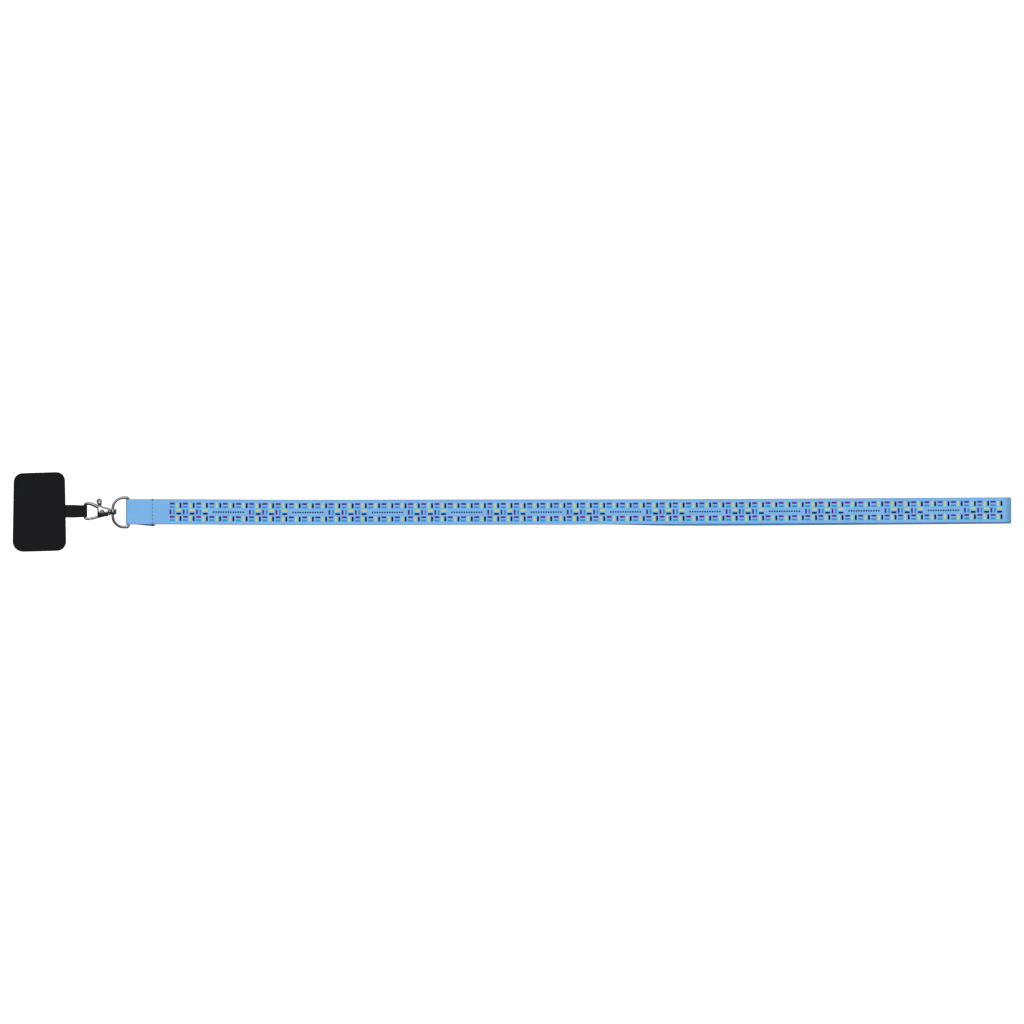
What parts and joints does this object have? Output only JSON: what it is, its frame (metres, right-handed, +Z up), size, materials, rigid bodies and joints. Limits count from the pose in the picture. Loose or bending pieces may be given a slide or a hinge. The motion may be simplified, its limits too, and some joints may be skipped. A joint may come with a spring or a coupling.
{
  "type": "phone lanyard",
  "caption": "Cross-body phone lanyard: a folded printed ribbon on a D-ring, a swivel snap hook with a thumb lever, and a phone patch on a short webbing tether.",
  "frame": {"origin": "middle of the whole object's length and width, on the surface that it lies on", "axes": "+X along the ribbon towards its far fold, +Y across it towards the side of the thumb lever, +Z up from the surface"},
  "size_m": [0.768, 0.0613, 0.0058],
  "materials": {
    "ribbon_cloth": "woven polyester, dye printed",
    "seam_thread": "spun polyester thread",
    "plated_metal": "polished nickel plate",
    "spring_steel": "drawn wire",
    "tether_webbing": "woven nylon",
    "pad_sheet": "matte synthetic leather"
  },
  "bodies": {
    "strap": {"ribbon": "ribbon_cloth", "ribbon_ring_fold": "ribbon_cloth", "ribbon_seam": "seam_thread"},
    "ring": {"d_ring": "plated_metal"},
    "eye": {"swivel_eye": "plated_metal"},
    "hook": {"hook_body": "plated_metal", "gate_pin": "plated_metal", "gate_spring": "spring_steel"},
    "gate": {"gate_lever": "plated_metal"},
    "tether": {"tether_strap": "tether_webbing"},
    "patch": {"pad_front": "pad_sheet", "pad_back": "pad_sheet", "tether_tail": "tether_webbing"}
  },
  "joints": [
    {"name": "ring_swing", "type": "hinge", "parent": "strap", "child": "ring", "pos_m": [-0.2949, -0.0003, 0.0021], "axis": [0, 1, 0], "range_deg": [-90, 90]},
    {"name": "eye_swing", "type": "hinge", "parent": "ring", "child": "eye", "pos_m": [-0.307, 0.0002, 0.0029], "axis": [0, -1, 0], "range_deg": [-60, 60]},
    {"name": "swivel_spin", "type": "hinge", "parent": "eye", "child": "hook", "pos_m": [-0.311, 0.0002, 0.0029], "axis": [1, 0, 0], "continuous": true},
    {"name": "gate_open", "type": "hinge", "parent": "hook", "child": "gate", "pos_m": [-0.3152, 0.00045, 0.0029], "axis": [0, 0, -1], "range_deg": [0, 24], "stiffness_Nm_per_rad": 0.03, "springref_deg": -22.92, "deforming": ["gate_spring"]},
    {"name": "tether_swing", "type": "hinge", "parent": "hook", "child": "tether", "pos_m": [-0.32855, 0.0006, 0.0029], "axis": [0, 1, 0], "range_deg": [-45, 45]},
    {"name": "patch_flex", "type": "hinge", "parent": "tether", "child": "patch", "pos_m": [-0.3419, 0.0006, 0.00105], "axis": [0, -1, 0], "range_deg": [-45, 45]}
  ]
}
